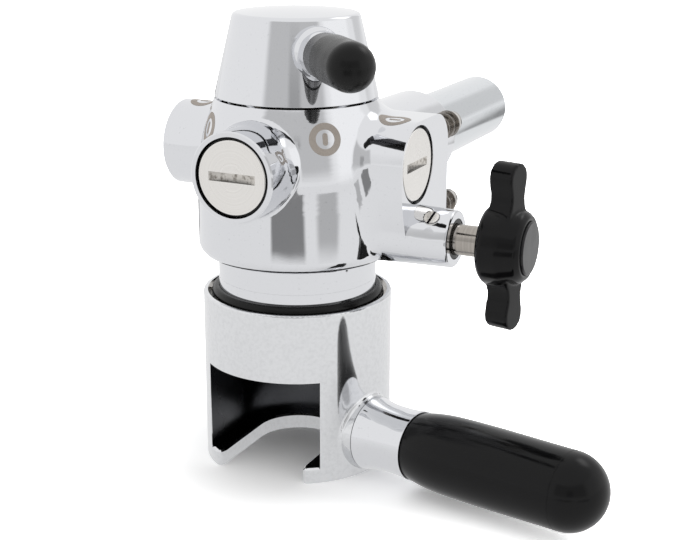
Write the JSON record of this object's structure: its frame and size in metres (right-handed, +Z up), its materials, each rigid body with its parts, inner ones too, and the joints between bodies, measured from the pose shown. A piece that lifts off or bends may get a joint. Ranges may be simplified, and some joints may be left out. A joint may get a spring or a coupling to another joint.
{
  "type": "bottle filling wine tap",
  "caption": "Counter-pressure wine tap with a lever cap on a ported rotor, a bleed valve with a wing knob, two hose barbs, a rear pipe and a quick-turn bottle clamp.",
  "frame": {"origin": "on the tap's upright axis, at the bottom face of the clamp ring", "axes": "+Z up along the tap's axis; -Y is the front where the bottle slides in; +X is the side of the bleed valve and its wing knob; +Y is the back, where the wine pipe leaves"},
  "size_m": [0.1517, 0.2067, 0.1432],
  "materials": {
    "polished_chrome": "bright polished chrome plate on cast brass",
    "satin_chrome": "satin chrome plate",
    "stainless_steel": "turned stainless steel",
    "brass": "machined brass",
    "dark_metal": "darkened turned steel",
    "black_rubber": "smooth moulded rubber",
    "grey_rubber": "soft food-grade rubber",
    "black_plastic": "glossy moulded black plastic",
    "grey_plastic": "glossy moulded dark grey plastic",
    "white_plastic": "natural machined fluoropolymer"
  },
  "bodies": {
    "tap_body": {"main_body": "polished_chrome", "neck_sleeve": "polished_chrome", "neck_gasket": "black_rubber", "seal_carrier": "stainless_steel", "bottle_seal": "grey_rubber", "filler_spout": "stainless_steel", "spout_o_ring": "black_rubber", "front_plug": "stainless_steel", "left_plug": "stainless_steel", "right_plug": "stainless_steel", "front_plug_o_ring": "black_rubber", "left_plug_o_ring": "black_rubber", "right_plug_o_ring": "black_rubber", "front_seat": "white_plastic", "left_seat": "white_plastic", "right_seat": "white_plastic", "front_spring_washers": "stainless_steel", "left_spring_washers": "stainless_steel", "right_spring_washers": "stainless_steel", "rear_pipe": "satin_chrome", "pipe_o_rings": "black_rubber", "pipe_lock_screw": "stainless_steel", "upper_hose_barb": "stainless_steel", "lower_hose_barb": "stainless_steel", "hose_barb_seals": "black_rubber", "valve_gland": "brass", "spindle_wiper": "black_rubber", "gland_lock_screw": "stainless_steel", "rotor_retainer": "brass", "thrust_washer": "white_plastic", "stop_pin": "stainless_steel"},
    "cap": {"cap_cover": "polished_chrome", "lever_base_ring": "polished_chrome", "lever_collar": "dark_metal", "lever_rod": "stainless_steel", "lever_grip": "black_rubber", "cap_spindle": "stainless_steel", "spindle_o_rings": "black_rubber", "valve_rotor": "stainless_steel"},
    "clamp_guide": {"guide_ring": "white_plastic", "dust_wiper": "black_rubber"},
    "bottle_clamp": {"clamp_ring": "satin_chrome", "snap_ring": "stainless_steel", "cam_screws": "stainless_steel", "handle_stud": "stainless_steel", "handle_collar": "polished_chrome", "handle_grip": "black_plastic"},
    "bleed_jumper": {"valve_jumper": "stainless_steel", "jumper_washer": "black_rubber"},
    "bleed_knob": {"bleed_spindle": "stainless_steel", "bleed_spindle_o_ring": "black_rubber", "wing_knob": "black_plastic", "knob_screw": "stainless_steel", "knob_cap": "grey_plastic"}
  },
  "joints": [
    {"name": "cap_turn", "type": "hinge", "parent": "tap_body", "child": "cap", "pos_m": [0, 0, 0.13], "axis": [0, 0, 1], "range_deg": [-134, 46]},
    {"name": "clamp_lift", "type": "slide", "parent": "tap_body", "child": "clamp_guide", "axis": [0, 0, 1], "range_m": [0, 0.00401]},
    {"name": "clamp_turn", "type": "hinge", "parent": "clamp_guide", "child": "bottle_clamp", "pos_m": [0, 0, 0.03], "axis": [0, 0, 1], "range_deg": [0, 90]},
    {"name": "needle_feed", "type": "slide", "parent": "tap_body", "child": "bleed_jumper", "axis": [1, 0, 0], "range_m": [0, 0.00201]},
    {"name": "knob_turn", "type": "hinge", "parent": "bleed_jumper", "child": "bleed_knob", "pos_m": [0.06, 0, 0.0774], "axis": [1, 0, 0], "range_deg": [0, 720]}
  ],
  "couplings": [
    {"joint": "clamp_lift", "follows": "clamp_turn", "m_per_rad": 0.0025465},
    {"joint": "needle_feed", "follows": "knob_turn", "m_per_rad": 0.00015915}
  ]
}
